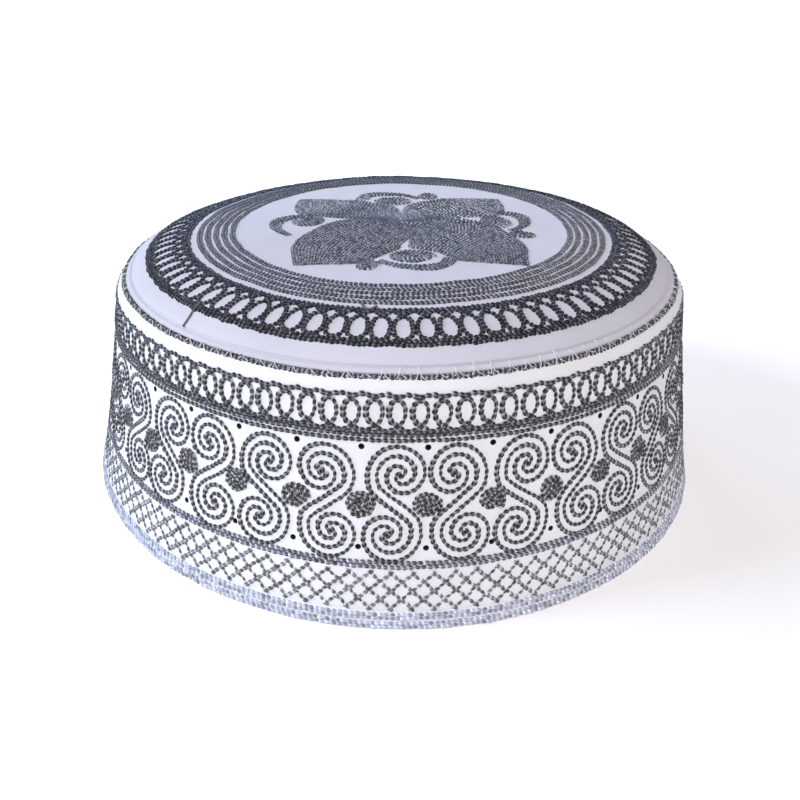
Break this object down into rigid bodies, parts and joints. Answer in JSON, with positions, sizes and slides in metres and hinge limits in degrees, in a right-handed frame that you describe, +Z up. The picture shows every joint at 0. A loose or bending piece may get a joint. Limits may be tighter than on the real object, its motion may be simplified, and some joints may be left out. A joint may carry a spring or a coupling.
{
  "type": "kufi cap",
  "caption": "Stiff round pillbox cap with a flat crown, a flared side band pierced by small eyelets, a rolled seam and a stitched hem; rests on its hem.",
  "frame": {"origin": "middle of the hem's circle, on the surface that the cap stands on", "axes": "+Z up through the crown, -Y towards the front of the cap, +X to its right as seen from the front"},
  "size_m": [0.1896, 0.1896, 0.0711],
  "materials": {
    "crown_cloth": "matt woven cotton",
    "seam_cloth": "matt woven cotton",
    "band_cloth": "matt woven cotton",
    "hem_cloth": "stitched cotton tape"
  },
  "bodies": {
    "root": {"crown": "crown_cloth", "seam_welt": "seam_cloth", "side_band": "band_cloth", "hem_binding": "hem_cloth"}
  },
  "joints": []
}
